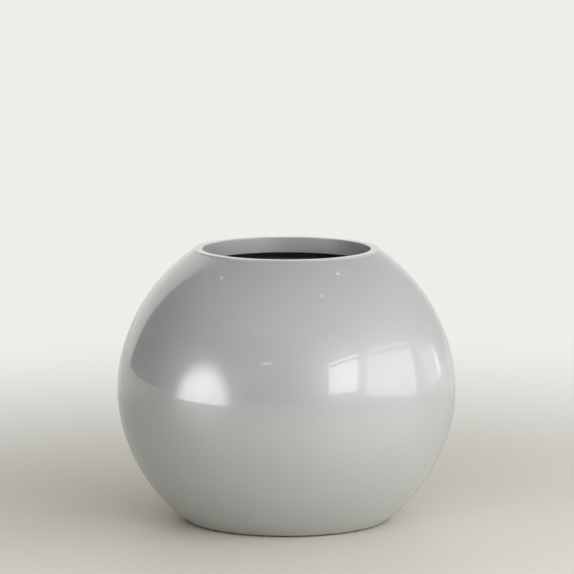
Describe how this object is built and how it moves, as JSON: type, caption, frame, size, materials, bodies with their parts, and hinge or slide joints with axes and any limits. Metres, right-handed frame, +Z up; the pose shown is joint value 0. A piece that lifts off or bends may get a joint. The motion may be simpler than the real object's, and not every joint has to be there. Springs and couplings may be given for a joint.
{
  "type": "sphere planter",
  "caption": "Globe floor planter in silver-grey gloss lacquer, with a round mouth, rubber feet, a drain plug and a lift-out liner on folding wire handles.",
  "frame": {"origin": "on the floor, under the middle of the base", "axes": "+Z up along the globe's axis, -Y towards the front, +X to the right"},
  "size_m": [0.5998, 0.5996, 0.483],
  "materials": {
    "lacquer": "silver-grey metallic lacquer under clear coat on a glass-fibre moulding",
    "pad_rubber": "matt black",
    "plug_rubber": "satin dark grey",
    "liner_plastic": "fine-grained charcoal moulded plastic",
    "wire": "bright zinc-plated drawn wire",
    "grip_plastic": "satin black moulded plastic"
  },
  "bodies": {
    "planter": {"shell": "lacquer", "foot_pad_1": "pad_rubber", "foot_pad_2": "pad_rubber", "foot_pad_3": "pad_rubber", "foot_pad_4": "pad_rubber"},
    "drain_plug": {"drain_plug": "plug_rubber"},
    "liner": {"liner": "liner_plastic"},
    "bail_front": {"bail_front": "wire", "grip_front": "grip_plastic"},
    "bail_rear": {"bail_rear": "wire", "grip_rear": "grip_plastic"}
  },
  "joints": [
    {"name": "liner_lift", "type": "slide", "parent": "planter", "child": "liner", "axis": [0, 0, 1], "range_m": [0, 0.5]},
    {"name": "plug_pull", "type": "slide", "parent": "planter", "child": "drain_plug", "axis": [0, 0, 1], "range_m": [0, 0.03]},
    {"name": "bail_rear_swing", "type": "hinge", "parent": "liner", "child": "bail_rear", "pos_m": [0, 0.012, 0.4423], "axis": [1, 0, 0], "range_deg": [0, 90]},
    {"name": "bail_front_swing", "type": "hinge", "parent": "liner", "child": "bail_front", "pos_m": [0, -0.012, 0.4423], "axis": [-1, 0, 0], "range_deg": [0, 90]}
  ]
}
